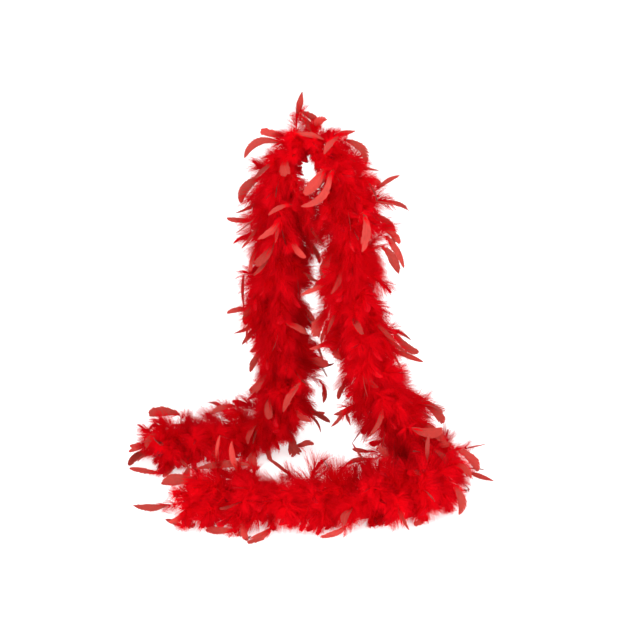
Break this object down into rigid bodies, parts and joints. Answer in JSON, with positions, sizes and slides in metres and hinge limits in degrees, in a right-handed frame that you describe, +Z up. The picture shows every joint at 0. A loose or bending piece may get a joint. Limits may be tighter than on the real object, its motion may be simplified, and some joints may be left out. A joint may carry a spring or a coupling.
{
  "type": "feather boa",
  "caption": "Red feather boa hung over one point: soft plumes bound all round a thin cotton cord, both ends lying on the floor.",
  "frame": {"origin": "underside of the cord at its highest point, where a hook, a rail or a neck carries the boa", "axes": "+Z up along the two hanging sides, +X to the right in front view, +Y away from the viewer"},
  "size_m": [0.6044, 0.4348, 0.6282],
  "materials": {
    "plume": "dyed turkey-type feather: matt fluffy down, with a soft satin sheen on the flat tips",
    "cord": "matt twisted cotton cord, dyed to match",
    "thread": "fine wound thread with a slight sheen"
  },
  "bodies": {
    "root": {"core_cord": "cord", "end_knot_left": "cord", "end_whipping_left": "thread", "end_knot_right": "cord", "end_whipping_right": "thread", "left_tail_1_plumes": "plume", "left_tail_2_plumes": "plume", "left_tail_3_plumes": "plume", "left_tail_4_plumes": "plume", "left_tail_5_plumes": "plume", "left_tail_6_plumes": "plume", "left_leg_1_plumes": "plume", "left_leg_2_plumes": "plume", "left_leg_3_plumes": "plume", "left_leg_4_plumes": "plume", "left_leg_5_plumes": "plume", "left_leg_6_plumes": "plume", "left_leg_7_plumes": "plume", "left_leg_8_plumes": "plume", "left_leg_9_plumes": "plume", "left_leg_10_plumes": "plume", "left_leg_11_plumes": "plume", "left_leg_12_plumes": "plume", "crown_1_plumes": "plume", "crown_2_plumes": "plume", "right_leg_1_plumes": "plume", "right_leg_2_plumes": "plume", "right_leg_3_plumes": "plume", "right_leg_4_plumes": "plume", "right_leg_5_plumes": "plume", "right_leg_6_plumes": "plume", "right_leg_7_plumes": "plume", "right_leg_8_plumes": "plume", "right_leg_9_plumes": "plume", "right_leg_10_plumes": "plume", "right_leg_11_plumes": "plume", "right_leg_12_plumes": "plume", "right_leg_13_plumes": "plume", "turn_1_plumes": "plume", "turn_2_plumes": "plume", "turn_3_plumes": "plume", "front_tail_1_plumes": "plume", "front_tail_2_plumes": "plume", "front_tail_3_plumes": "plume", "front_tail_4_plumes": "plume", "front_tail_5_plumes": "plume", "front_tail_6_plumes": "plume", "front_tail_7_plumes": "plume", "front_tail_8_plumes": "plume"}
  },
  "joints": []
}
